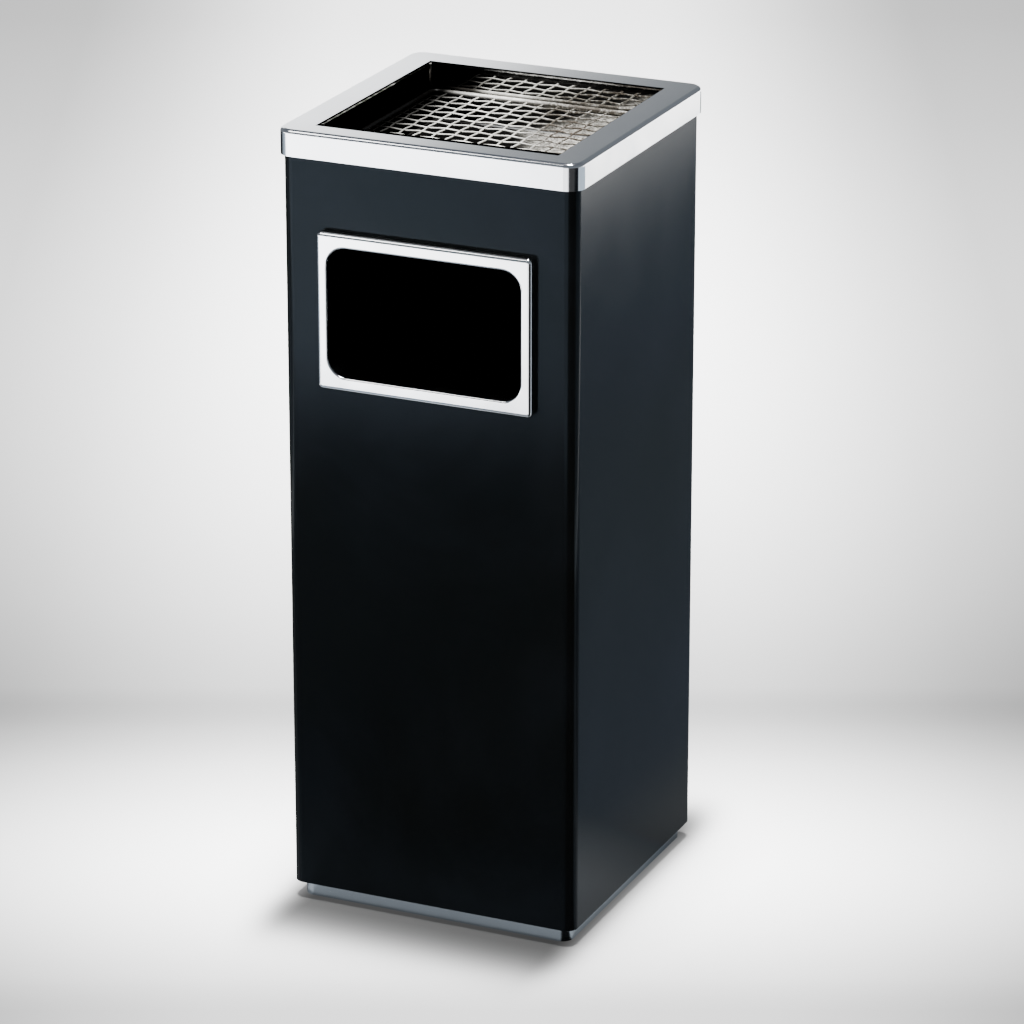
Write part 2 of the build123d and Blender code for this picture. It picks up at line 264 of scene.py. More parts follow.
# One maker for the steels: they differ in tone, polish and grain
steels = {
    "rimSteel": {
        "color": (0.8, 0.81, 0.83), "smooth": 0.07, "rough": 0.12, "patch": 9.0,
        "stretch": (60.0, 60.0, 60.0), "depth": 0.000004,
    },
    "frameSteel": {
        "color": (0.86, 0.87, 0.88), "smooth": 0.08, "rough": 0.14, "patch": 20.0,
        "stretch": (60.0, 60.0, 60.0), "depth": 0.000003,
    },
    "plinthSteel": {
        "color": (0.37, 0.4, 0.43), "smooth": 0.2, "rough": 0.26, "patch": 12.0,
        "stretch": (20.0, 20.0, 1400.0), "depth": 0.000003,
    },
    "zincSteel": {
        "color": (0.62, 0.63, 0.64), "smooth": 0.22, "rough": 0.4, "patch": 120.0,
        "stretch": (900.0, 900.0, 900.0), "depth": 0.00001,
    },
}


rimLip = {
    "flange": 0.024,
    "line": 0.0019,  # depth of the bright line below the top
    "lineHalf": 0.0005,
    "margin": 0.0001,  # how far the mask stops short of the flange's edge
    "maskEdge": 0.0002,
    "tall": 10.0,  # keeps height out of the mask
    "shade": 0.02,
}


def addLipShade(tree, shader, tint, place):
    # Painted tones, not a reflection: the lip is dark with one bright line along its bend. The mask is
    # centred on the origin and the rim's middle isn't, so it also darkens a strip of the front flange
    low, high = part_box("top_rim")
    half = Vector(high) - Vector(grey(rimLip["flange"] - rimLip["margin"]))
    coords = addNode(tree, "ShaderNodeTexCoord", (place[0] - 900, place[1]))
    folded = addNode(tree, "ShaderNodeVectorMath", (place[0] - 720, place[1]), operation="ABSOLUTE")
    outside = addNode(tree, "ShaderNodeVectorMath", (place[0] - 540, place[1]), operation="SUBTRACT")
    outside.inputs[1].default_value = (half.x, half.y, rimLip["tall"])
    clipped = addNode(tree, "ShaderNodeVectorMath", (place[0] - 360, place[1]), operation="MAXIMUM")
    away = addNode(tree, "ShaderNodeVectorMath", (place[0] - 180, place[1]), operation="LENGTH")
    inside = addNode(tree, "ShaderNodeMath", place, operation="LESS_THAN")
    inside.inputs[1].default_value = rimLip["maskEdge"]
    split = addNode(tree, "ShaderNodeSeparateXYZ", (place[0] - 540, place[1] - 200))
    line = addNode(tree, "ShaderNodeMath", (place[0] - 360, place[1] - 200), operation="COMPARE")
    line.inputs[1].default_value = high[2] - rimLip["line"]
    line.inputs[2].default_value = rimLip["lineHalf"]
    lipTone = addNode(tree, "ShaderNodeMix", (place[0] - 180, place[1] - 200), data_type="RGBA")
    lipTone.inputs[6].default_value = (*grey(rimLip["shade"]), 1)
    shaded = addNode(tree, "ShaderNodeMix", (place[0] + 180, place[1]), data_type="RGBA")
    edge = addNode(tree, "ShaderNodeMix", (place[0] + 180, place[1] - 250), data_type="RGBA")
    edge.inputs[6].default_value = (1, 1, 1, 1)
    tree.links.new(coords.outputs["Object"], folded.inputs[0])
    tree.links.new(coords.outputs["Object"], split.inputs["Vector"])
    tree.links.new(folded.outputs["Vector"], outside.inputs[0])
    tree.links.new(outside.outputs["Vector"], clipped.inputs[0])
    tree.links.new(clipped.outputs["Vector"], away.inputs[0])
    tree.links.new(away.outputs["Value"], inside.inputs[0])
    tree.links.new(split.outputs["Z"], line.inputs[0])
    tree.links.new(line.outputs["Value"], lipTone.inputs[0])
    tree.links.new(tint, lipTone.inputs[7])
    tree.links.new(inside.outputs["Value"], shaded.inputs[0])
    tree.links.new(tint, shaded.inputs[6])
    tree.links.new(lipTone.outputs[2], shaded.inputs[7])
    tree.links.new(inside.outputs["Value"], edge.inputs[0])
    tree.links.new(lipTone.outputs[2], edge.inputs[7])
    tree.links.new(shaded.outputs[2], shader.inputs["Base Color"])
    tree.links.new(edge.outputs[2], shader.inputs["Specular Tint"])


def makeSteel(name):
    values = steels[name]
    material, tree, output = newMaterial(name)
    shader = addNode(tree, "ShaderNodeBsdfPrincipled", (300, 0))
    shader.inputs["Metallic"].default_value = 1.0
    marks = placeGroup(
        tree, wipeMarks, (-400, 0), Size=values["patch"], Smooth=values["smooth"], Rough=values["rough"]
    )
    tint = addNode(tree, "ShaderNodeMix", (0, 250), data_type="RGBA")
    tint.inputs[6].default_value = (*values["color"], 1)
    tint.inputs[7].default_value = (*[0.93 * part for part in values["color"]], 1)
    grain = placeGroup(tree, fineGrain, (-400, -300), Stretch=values["stretch"])
    bump = addNode(tree, "ShaderNodeBump", (0, -300))
    bump.inputs["Strength"].default_value = 0.5
    bump.inputs["Distance"].default_value = values["depth"]
    tree.links.new(marks.outputs["Mask"], tint.inputs[0])
    tree.links.new(tint.outputs[2], shader.inputs["Base Color"])
    if name == "rimSteel":
        addLipShade(tree, shader, tint.outputs[2], (0, 900))
    tree.links.new(marks.outputs["Roughness"], shader.inputs["Roughness"])
    tree.links.new(grain.outputs["Grain"], bump.inputs["Height"])
    tree.links.new(bump.outputs["Normal"], shader.inputs["Normal"])
    tree.links.new(shader.outputs[0], output.inputs[0])
    return material


# The ash pan: mirror-bright walls and a floor covered in pale ash on one side; painted shade darkens the floor and
# walls towards the other side
panFinish = {
    "steel": (0.62, 0.62, 0.61),
    # The next two tones are painted shade: they darken the pan's floor, walls and wires towards the left
    "panShadeBlack": (0.0012, 0.0011, 0.001),
    "wallShadeTone": (0.05, 0.047, 0.044),
    "ashDark": (0.06, 0.056, 0.05),
    "ashPale": (0.38, 0.365, 0.33),
    "across": (0.912, 0.409, 0.0),  # direction in which the floor turns from painted shade to ash
    "wallEdge": 0.15,
    # Edge between the painted shade and the ash on the floor
    "shadeEnd": 0.014,
    "ashStart": 0.046,
    # Reaches of the painted shade on the walls and on the wires
    "wallShadeReach": (-0.016, 0.0),
    "wireShadeReach": (-0.084, -0.045),
    "wallRough": 0.012,
    "floorRough": 0.85,
}


def addAshMask(tree, place, wobble):
    # 0 on the side painted dark as shade, 1 on the ashy side, with an uneven edge
    coords = addNode(tree, "ShaderNodeTexCoord", (place[0] - 900, place[1]))
    across = addNode(tree, "ShaderNodeVectorMath", (place[0] - 700, place[1]), operation="DOT_PRODUCT")
    across.inputs[1].default_value = panFinish["across"]
    waves = addNode(tree, "ShaderNodeTexNoise", (place[0] - 700, place[1] - 200))
    waves.inputs["Scale"].default_value = 70
    waves.inputs["Detail"].default_value = 5
    shift = addNode(tree, "ShaderNodeMath", (place[0] - 450, place[1] - 200), operation="MULTIPLY_ADD")
    shift.inputs[1].default_value = wobble
    mask = addNode(tree, "ShaderNodeMapRange", (place[0] - 200, place[1]), interpolation_type="SMOOTHSTEP")
    mask.inputs["From Min"].default_value = panFinish["shadeEnd"] + wobble / 2
    mask.inputs["From Max"].default_value = panFinish["ashStart"] + wobble / 2
    tree.links.new(coords.outputs["Object"], across.inputs[0])
    tree.links.new(coords.outputs["Object"], waves.inputs["Vector"])
    tree.links.new(waves.outputs["Fac"], shift.inputs[0])
    tree.links.new(across.outputs["Value"], shift.inputs[2])
    tree.links.new(shift.outputs["Value"], mask.inputs["Value"])
    return mask.outputs["Result"], across.outputs["Value"], coords.outputs["Object"]


def addPaintedShade(tree, across, limits, shadeColor, unshaded, place):
    # Painted shade: fades a colour into a dark tone towards the left of the pan
    kept = addNode(tree, "ShaderNodeMapRange", place, interpolation_type="SMOOTHSTEP")
    kept.inputs["From Min"].default_value = limits[0]
    kept.inputs["From Max"].default_value = limits[1]
    shadedMix = addNode(tree, "ShaderNodeMix", (place[0] + 200, place[1]), data_type="RGBA")
    shadedMix.inputs[6].default_value = (*shadeColor, 1)
    tree.links.new(across, kept.inputs["Value"])
    tree.links.new(kept.outputs["Result"], shadedMix.inputs[0])
    if isinstance(unshaded, tuple):
        shadedMix.inputs[7].default_value = (*unshaded, 1)
    else:
        tree.links.new(unshaded, shadedMix.inputs[7])
    return shadedMix.outputs[2]


def makePanSteel():
    material, tree, output = newMaterial("panSteel")
    shader = addNode(tree, "ShaderNodeBsdfPrincipled", (700, 0))
    shader.inputs["Specular IOR Level"].default_value = 0.04
    ashMask, across, coords = addAshMask(tree, (-300, 300), 0.02)
    grains = addNode(tree, "ShaderNodeTexNoise", (-700, 0))
    grains.inputs["Scale"].default_value = 620
    grains.inputs["Detail"].default_value = 6
    grains.inputs["Roughness"].default_value = 0.75
    speckle = addNode(tree, "ShaderNodeMapRange", (-500, 0), interpolation_type="SMOOTHSTEP")
    speckle.inputs["From Min"].default_value = 0.42
    speckle.inputs["From Max"].default_value = 0.6
    ash = addNode(tree, "ShaderNodeMix", (-250, 0), data_type="RGBA")
    ash.inputs[6].default_value = (*panFinish["ashDark"], 1)
    ash.inputs[7].default_value = (*panFinish["ashPale"], 1)
    floorTint = addNode(tree, "ShaderNodeMix", (0, 200), data_type="RGBA")
    # Painted shade on the floor's left side
    floorTint.inputs[6].default_value = (*panFinish["panShadeBlack"], 1)
    facing = addNode(tree, "ShaderNodeNewGeometry", (-700, -300))
    split = addNode(tree, "ShaderNodeSeparateXYZ", (-500, -300))
    lying = addNode(tree, "ShaderNodeMapRange", (-250, -300), interpolation_type="SMOOTHSTEP")
    lying.inputs["From Min"].default_value = 0.3
    lying.inputs["From Max"].default_value = 0.7
    tint = addNode(tree, "ShaderNodeMix", (250, 200), data_type="RGBA")
    shader.inputs["Specular Tint"].default_value = (*grey(panFinish["wallEdge"]), 1)
    # Painted shade darkens the walls towards the left
    wallTint = addPaintedShade(
        tree, across, panFinish["wallShadeReach"], panFinish["wallShadeTone"], panFinish["steel"], (-250, 600)
    )
    tree.links.new(wallTint, tint.inputs[6])
    metal = addNode(tree, "ShaderNodeMapRange", (250, -50))
    metal.inputs["To Min"].default_value = 1.0
    metal.inputs["To Max"].default_value = 0.0
    rough = addNode(tree, "ShaderNodeMapRange", (250, -300))
    rough.inputs["To Min"].default_value = panFinish["wallRough"]
    rough.inputs["To Max"].default_value = panFinish["floorRough"]
    bump = addNode(tree, "ShaderNodeBump", (450, -400))
    bump.inputs["Strength"].default_value = 0.6
    bump.inputs["Distance"].default_value = 0.0006
    heights = addNode(tree, "ShaderNodeMath", (250, -550), operation="MULTIPLY")
    tree.links.new(coords, grains.inputs["Vector"])
    tree.links.new(grains.outputs["Fac"], speckle.inputs["Value"])
    tree.links.new(speckle.outputs["Result"], ash.inputs[0])
    tree.links.new(ashMask, floorTint.inputs[0])
    tree.links.new(ash.outputs[2], floorTint.inputs[7])
    tree.links.new(facing.outputs["Normal"], split.inputs["Vector"])
    tree.links.new(split.outputs["Z"], lying.inputs["Value"])
    tree.links.new(lying.outputs["Result"], tint.inputs[0])
    tree.links.new(floorTint.outputs[2], tint.inputs[7])
    tree.links.new(lying.outputs["Result"], metal.inputs["Value"])
    tree.links.new(lying.outputs["Result"], rough.inputs["Value"])
    tree.links.new(grains.outputs["Fac"], heights.inputs[0])
    tree.links.new(lying.outputs["Result"], heights.inputs[1])
    tree.links.new(heights.outputs["Value"], bump.inputs["Height"])
    tree.links.new(tint.outputs[2], shader.inputs["Base Color"])
    tree.links.new(metal.outputs["Result"], shader.inputs["Metallic"])
    tree.links.new(rough.outputs["Result"], shader.inputs["Roughness"])
    tree.links.new(bump.outputs["Normal"], shader.inputs["Normal"])
    tree.links.new(shader.outputs[0], output.inputs[0])
    return material


# Drawn wire: clean, with painted shade darkening it towards the left of the pan, smoked grey over the ash, browned by
# heat towards the back right
wireFinish = {
    "unshaded": (0.7, 0.68, 0.63),
    "smoked": (0.075, 0.066, 0.054),
    "brown": (0.05, 0.036, 0.025),
    "burnt": (0.05, 0.03, 0.59),
    "burntReach": 0.045,
    "metal": 0.45,
}


def makeWireSteel():
    material, tree, output = newMaterial("wireSteel")
    shader = addNode(tree, "ShaderNodeBsdfPrincipled", (600, 0))
    shader.inputs["Metallic"].default_value = wireFinish["metal"]
    marks = placeGroup(tree, wipeMarks, (-400, -200), Size=160.0, Smooth=0.22, Rough=0.42)
    ashMask, _, coords = addAshMask(tree, (-400, 500), 0.03)
    grime = addNode(tree, "ShaderNodeTexNoise", (-800, 150))
    grime.inputs["Scale"].default_value = 240
    grime.inputs["Detail"].default_value = 5
    grime.inputs["Roughness"].default_value = 0.7
    patchy = addNode(tree, "ShaderNodeMapRange", (-600, 150))
    patchy.inputs["From Min"].default_value = 0.32
    patchy.inputs["From Max"].default_value = 0.52
    patchy.inputs["To Min"].default_value = 0.35
    smoke = addNode(tree, "ShaderNodeMath", (-350, 250), operation="MULTIPLY")
    smoked = addNode(tree, "ShaderNodeMix", (-100, 300), data_type="RGBA")
    sideSplit = addNode(tree, "ShaderNodeSeparateXYZ", (-600, 800))
    tree.links.new(coords, sideSplit.inputs["Vector"])
    # Painted shade: the wires fade to dark towards the left, in colour and in specular tint
    shadedWireTint = addPaintedShade(
        tree, sideSplit.outputs["X"], panFinish["wireShadeReach"], panFinish["panShadeBlack"], wireFinish["unshaded"], (-400, 800)
    )
    tree.links.new(shadedWireTint, smoked.inputs[6])
    tree.links.new(shadedWireTint, shader.inputs["Specular Tint"])
    smoked.inputs[7].default_value = (*wireFinish["smoked"], 1)
    away = addNode(tree, "ShaderNodeVectorMath", (-800, -50), operation="DISTANCE")
    away.inputs[1].default_value = wireFinish["burnt"]
    near = addNode(tree, "ShaderNodeMapRange", (-600, -50), interpolation_type="SMOOTHSTEP")
    near.inputs["From Min"].default_value = 0.0
    near.inputs["From Max"].default_value = wireFinish["burntReach"]
    near.inputs["To Min"].default_value = 1.0
    near.inputs["To Max"].default_value = 0.0
    heat = addNode(tree, "ShaderNodeMath", (-350, 50), operation="MULTIPLY")
    browned = addNode(tree, "ShaderNodeMix", (200, 200), data_type="RGBA")
    browned.inputs[7].default_value = (*wireFinish["brown"], 1)
    tree.links.new(coords, grime.inputs["Vector"])
    tree.links.new(grime.outputs["Fac"], patchy.inputs["Value"])
    tree.links.new(patchy.outputs["Result"], smoke.inputs[0])
    tree.links.new(ashMask, smoke.inputs[1])
    tree.links.new(smoke.outputs["Value"], smoked.inputs[0])
    tree.links.new(coords, away.inputs[0])
    tree.links.new(away.outputs["Value"], near.inputs["Value"])
    tree.links.new(near.outputs["Result"], heat.inputs[0])
    tree.links.new(patchy.outputs["Result"], heat.inputs[1])
    tree.links.new(heat.outputs["Value"], browned.inputs[0])
    tree.links.new(smoked.outputs[2], browned.inputs[6])
    tree.links.new(browned.outputs[2], shader.inputs["Base Color"])
    tree.links.new(marks.outputs["Roughness"], shader.inputs["Roughness"])
    tree.links.new(shader.outputs[0], output.inputs[0])
    return material


rubber = {"color": (0.02, 0.02, 0.021), "smooth": 0.6, "rough": 0.8}


def makeRubber():
    material, tree, output = newMaterial("footRubber")
    shader = addNode(tree, "ShaderNodeBsdfPrincipled", (300, 0))
    marks = placeGroup(tree, wipeMarks, (-400, 0), Size=200.0, Smooth=rubber["smooth"], Rough=rubber["rough"])
    dust = placeGroup(tree, settledDust, (-400, 300), Amount=0.4)
    tint = addNode(tree, "ShaderNodeMix", (0, 200), data_type="RGBA")
    tint.inputs[6].default_value = (*rubber["color"], 1)
    tint.inputs[7].default_value = (0.2, 0.19, 0.17, 1)
    tree.links.new(dust.outputs["Mask"], tint.inputs[0])
    tree.links.new(tint.outputs[2], shader.inputs["Base Color"])
    tree.links.new(marks.outputs["Roughness"], shader.inputs["Roughness"])
    tree.links.new(shader.outputs[0], output.inputs[0])
    return material


bodyPaint = makeBodyPaint()
rimSteel = makeSteel("rimSteel")
frameSteel = makeSteel("frameSteel")
panSteel = makePanSteel()
plinthSteel = makeSteel("plinthSteel")
zincSteel = makeSteel("zincSteel")
wireSteel = makeWireSteel()
footRubber = makeRubber()
print("materials made")

finishes = {
    "body_shell": bodyPaint,
    "seam_strip": bodyPaint,
    "base_plate": bodyPaint,
    "plinth_band": plinthSteel,
    "plinth_rivets": zincSteel,
    "rubber_feet": footRubber,
    "foot_screws": zincSteel,
    "foot_nuts": zincSteel,
    "aperture_surround": frameSteel,
    "top_rim": rimSteel,
    "ash_pan": panSteel,
    "pan_clips": zincSteel,
    "grid_border": wireSteel,
    "grid_long_wires": wireSteel,
    "grid_cross_wires": wireSteel,
    "liner_pail": bodyPaint,
    "liner_floor": bodyPaint,
    "liner_rim_wire": bodyPaint,
    "liner_ears": zincSteel,
    "ear_rivets": zincSteel,
    "bail_wire": zincSteel,
}
for name, material in finishes.items():
    slots = nodes[name].material_slots
    for slot in slots:
        slot.material = material

# Woven grid wires: each goes over and under the wires that cross it
weave = {
    "wireRadius": 0.7 * millimetre,
    "pitch": 13.3 * millimetre,
    "count": 13,
    "crimp": 0.6 * millimetre,
    "sides": 10,
    "swell": 1.3 * millimetre,
    "swellSize": 0.09,
}


def modelWire(length, height, name):
    # One crimped wire along X, grown from a ring at its left end
    lastCrossing = (weave["count"] - 1) / 2 * weave["pitch"]
    firstRun = length / 2 - lastCrossing
    deselectAll()
    bpy.ops.mesh.primitive_circle_add(
        vertices=weave["sides"],
        radius=weave["wireRadius"],
        fill_type="NGON",
        location=(-length / 2, 0, height),
        rotation=(0, math.pi / 2, 0),
    )
    wire = bpy.context.object
    wire.name = name
    bpy.ops.object.mode_set(mode="EDIT")
    bpy.ops.mesh.select_all(action="SELECT")
    steps = [(firstRun * 0.55, 0.0), (firstRun * 0.45, weave["crimp"])]
    rise = weave["crimp"]
    for crossing in range(weave["count"] - 1):
        steps.append((weave["pitch"] / 2, -rise))
        steps.append((weave["pitch"] / 2, -rise))
        rise = -rise
    steps.append((firstRun * 0.45, -rise))
    steps.append((firstRun * 0.55, 0.0))
    for along, up in steps:
        bpy.ops.mesh.extrude_region_move(TRANSFORM_OT_translate={"value": (along, 0, up)})
    bpy.ops.mesh.select_all(action="SELECT")
    bpy.ops.mesh.normals_make_consistent(inside=False)
    bpy.ops.object.mode_set(mode="OBJECT")
    bpy.ops.object.transform_apply(location=True, rotation=True, scale=True)
    return wire


def copyPiece(piece, name):
    makeActive(piece)
    bpy.ops.object.duplicate(linked=False)
    copy = bpy.context.object
    copy.name = name
    return copy


def weaveLayer(name, length, height, middle, turned, startUp):
    pattern = modelWire(length, 0, name + "Pattern")
    copies = []
    half = (weave["count"] - 1) / 2
    for index in range(weave["count"]):
        copy = copyPiece(pattern, name + str(index))
        up = 1 if (index % 2 == 0) == startUp else -1
        copy.scale = (1, 1, up)
        copy.rotation_euler = (0, 0, math.pi / 2 if turned else 0)
        offset = (index - half) * weave["pitch"]
        copy.location = (offset, middle, height) if turned else (0, middle + offset, height)
        bpy.ops.object.transform_apply(location=True, rotation=True, scale=True)
        bpy.ops.object.mode_set(mode="EDIT")
        bpy.ops.mesh.select_all(action="SELECT")
        bpy.ops.mesh.normals_make_consistent(inside=False)
        bpy.ops.object.mode_set(mode="OBJECT")
        copies.append(copy)
    makeActive(pattern)
    bpy.ops.object.delete()
    deselectAll()
    for copy in copies:
        copy.select_set(True)
    bpy.context.view_layer.objects.active = copies[0]
    bpy.ops.object.join()
    layer = bpy.context.object
    layer.name = name
    smooth = layer.modifiers.new("roundedCrimps", "SUBSURF")
    smooth.levels = 1
    smooth.render_levels = 1
    bpy.ops.object.modifier_apply(modifier=smooth.name)
    for axis in ("X", "Y", "Z"):
        swell = layer.modifiers.new("swell" + axis, "DISPLACE")
        swell.texture = swellTextures[axis]
        swell.texture_coords = "GLOBAL"
        swell.direction = axis
        swell.strength = weave["swell"]
        swell.mid_level = 0.5
        bpy.ops.object.modifier_apply(modifier=swell.name)
    bpy.ops.object.shade_smooth_by_angle(angle=math.radians(50))
    layer.data.materials.clear()
    layer.data.materials.append(wireSteel)
    return layer


swellTextures = {}
for order, axis in enumerate(("X", "Y", "Z")):
    cloud = bpy.data.textures.new("swell" + axis, "CLOUDS")
    cloud.noise_scale = weave["swellSize"] * (1 + 0.17 * order)
    cloud.noise_depth = 0
    swellTextures[axis] = cloud

borderLow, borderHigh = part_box("grid_border")
gridMiddle = (borderLow[1] + borderHigh[1]) / 2
gridHeight = (borderLow[2] + borderHigh[2]) / 2
wireLow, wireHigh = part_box("grid_cross_wires")
wireLength = wireHigh[0] - wireLow[0]
longWires = weaveLayer("longWires", wireLength, gridHeight, gridMiddle, True, True)
crossWires = weaveLayer("crossWires", wireLength, gridHeight, gridMiddle, False, False)
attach(longWires, "grid")
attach(crossWires, "grid")
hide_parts("grid_long_wires")
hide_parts("grid_cross_wires")
print("grid woven")

# Pale floor with painted light and shade: bright round the bin, dimmer away from it, with a soft painted band behind
# like a far wall's foot.
# What the bin mirrors is painted apart from what is seen: for rays other than the camera's the floor is painted dark
# close by and white further out.
floorTone = {
    "size": 16.0,
    "near": -1.0,
    "far": 4.0,
    # Painted light and shade: the floor's tone along the view and across it
    "along": [
        (-1.0, 0.15), (-0.255, 0.25), (-0.2, 0.34), (-0.1, 0.68), (0.0, 0.97), (0.1, 0.8), (0.2, 0.46),
        (0.27, 0.27), (0.32, 0.2), (0.36, 0.24), (0.575, 0.4), (0.83, 0.6), (1.12, 0.78),
        (1.43, 0.85), (1.8, 0.74), (2.14, 0.6), (2.6, 0.46), (4.0, 0.3),
    ],
    "across": [(0.0, 1.0), (0.2, 0.94), (0.3, 0.66), (0.4, 0.4), (0.52, 0.24), (1.2, 0.18)],
    "acrossReach": 1.2,
    "contactShadow": [
        # Painted contact shadow round the plinth
        (0.0, 0.05), (0.014, 0.07), (0.026, 0.11), (0.038, 0.2), (0.05, 0.38), (0.062, 0.62),
        (0.075, 0.83), (0.09, 0.95), (0.11, 1.0),
    ],
    "contactReach": 0.11,
    "contactMiddle": (0.0, -0.006, 0.0),
    "contactHalf": (0.1, 0.118, 0.0),
    "contactSqueeze": (2.2, 1.0, 0.0),
    "glow": 2.0,  # keeps the shadow under the bin's edge from going black
    # Painted reflections: tones the floor shows only to rays other than the camera's
    "mirrorSide": [
        (0.0, (0.075, 0.08, 0.085)), (0.14, (0.07, 0.075, 0.08)), (0.2, (0.042, 0.052, 0.066)),
        (0.5, (0.032, 0.042, 0.058)), (0.73, (0.042, 0.056, 0.072)), (0.86, (0.06, 0.075, 0.095)),
        (0.89, (0.2, 0.22, 0.25)), (0.905, (0.78, 0.77, 0.75)), (1.0, (0.78, 0.77, 0.75)),
        (1.04, (0.1, 0.12, 0.14)),
    ],
    "mirrorSideReach": 1.2,
    "mirrorFront": [
        (-2.2, (0.82, 0.83, 0.85)), (-1.24, (0.82, 0.83, 0.85)), (-1.18, (0.2, 0.22, 0.26)),
        (-1.05, (0.05, 0.06, 0.075)), (-0.3, (0.04, 0.05, 0.06)), (-0.15, (0.15, 0.16, 0.17)),
        (0.0, (0.15, 0.16, 0.17)), (0.12, (0.04, 0.05, 0.06)), (2.3, (0.04, 0.05, 0.06)),
        (2.4, (0.8, 0.8, 0.8)),
    ],
    "mirrorFrontReach": 2.5,
    "corner": 0.009,  # where directions out from the outline fan out
    "mirrorTurn": [
        (-180, 0.5), (-160, 0.25), (-150, 0.03), (-95, 0.03), (-75, 0.7), (-40, 1.0), (-28, 1.0), (-20, 0.85),
        (-16, 0.62), (-12, 0.5), (8, 0.5), (18, 0.01), (82, 0.01), (90, 0.85), (180, 0.9),
    ],
}


def rampOver(tree, values, low, high, place, interpolation="B_SPLINE"):
    spread = addNode(tree, "ShaderNodeMapRange", place)
    spread.inputs["From Min"].default_value = low
    spread.inputs["From Max"].default_value = high
    ramp = addNode(tree, "ShaderNodeValToRGB", (place[0] + 200, place[1]))
    ramp.color_ramp.interpolation = interpolation
    stops = []
    for distance, tone in values:
        color = tone if isinstance(tone, tuple) else grey(tone)
        stops.append(((distance - low) / (high - low), color))
    setRamp(ramp, stops)
    tree.links.new(spread.outputs["Result"], ramp.inputs["Fac"])
    return spread.inputs["Value"], ramp.outputs["Color"]


def multiplyColors(tree, first, second, place, blend="MULTIPLY"):
    mix = addNode(tree, "ShaderNodeMix", place, data_type="RGBA", blend_type=blend)
    mix.inputs[0].default_value = 1.0
    tree.links.new(first, mix.inputs[6])
    tree.links.new(second, mix.inputs[7])
    return mix.outputs[2]


def addPaintedFloorLight(tree, coords, place):
    # Painted light and shade: the floor's tone as camera rays see it, laid out along the main view's azimuth and
    # fixed in the room
    turned = addNode(tree, "ShaderNodeMapping", (place[0], place[1]))
    turned.inputs["Rotation"].default_value = (0, 0, -math.radians(cameraView["azimuth"]))
    split = addNode(tree, "ShaderNodeSeparateXYZ", (place[0] + 200, place[1]))
    sideways = addNode(tree, "ShaderNodeMath", (place[0] + 400, place[1] - 200), operation="ABSOLUTE")
    alongIn, alongOut = rampOver(
        tree, floorTone["along"], floorTone["near"], floorTone["far"], (place[0] + 600, place[1])
    )
    acrossIn, acrossOut = rampOver(
        tree, floorTone["across"], 0.0, floorTone["acrossReach"], (place[0] + 600, place[1] - 250)
    )
    tree.links.new(coords, turned.inputs["Vector"])
    tree.links.new(turned.outputs["Vector"], split.inputs["Vector"])
    tree.links.new(split.outputs["Y"], alongIn)
    tree.links.new(split.outputs["X"], sideways.inputs[0])
    tree.links.new(sideways.outputs["Value"], acrossIn)
    return multiplyColors(tree, alongOut, acrossOut, (place[0] + 1100, place[1]))


def addPaintedContactShadow(tree, coords, place):
    # Painted contact shadow: a soft dark band round the plinth, by distance from its outline
    moved = addNode(tree, "ShaderNodeVectorMath", (place[0], place[1]), operation="SUBTRACT")
    moved.inputs[1].default_value = floorTone["contactMiddle"]
    folded = addNode(tree, "ShaderNodeVectorMath", (place[0] + 180, place[1]), operation="ABSOLUTE")
    outside = addNode(tree, "ShaderNodeVectorMath", (place[0] + 360, place[1]), operation="SUBTRACT")
    outside.inputs[1].default_value = floorTone["contactHalf"]
    clipped = addNode(tree, "ShaderNodeVectorMath", (place[0] + 540, place[1]), operation="MAXIMUM")
    squeezed = addNode(tree, "ShaderNodeVectorMath", (place[0] + 630, place[1] - 150), operation="MULTIPLY")
    squeezed.inputs[1].default_value = floorTone["contactSqueeze"]
    away = addNode(tree, "ShaderNodeVectorMath", (place[0] + 720, place[1]), operation="LENGTH")
    toneIn, toneOut = rampOver(tree, floorTone["contactShadow"], 0.0, floorTone["contactReach"], (place[0] + 900, place[1]))
    tree.links.new(coords, moved.inputs[0])
    tree.links.new(moved.outputs["Vector"], folded.inputs[0])
    tree.links.new(folded.outputs["Vector"], outside.inputs[0])
    tree.links.new(outside.outputs["Vector"], clipped.inputs[0])
    tree.links.new(clipped.outputs["Vector"], squeezed.inputs[0])
    tree.links.new(squeezed.outputs["Vector"], away.inputs[0])
    tree.links.new(away.outputs["Value"], toneIn)
    return toneOut


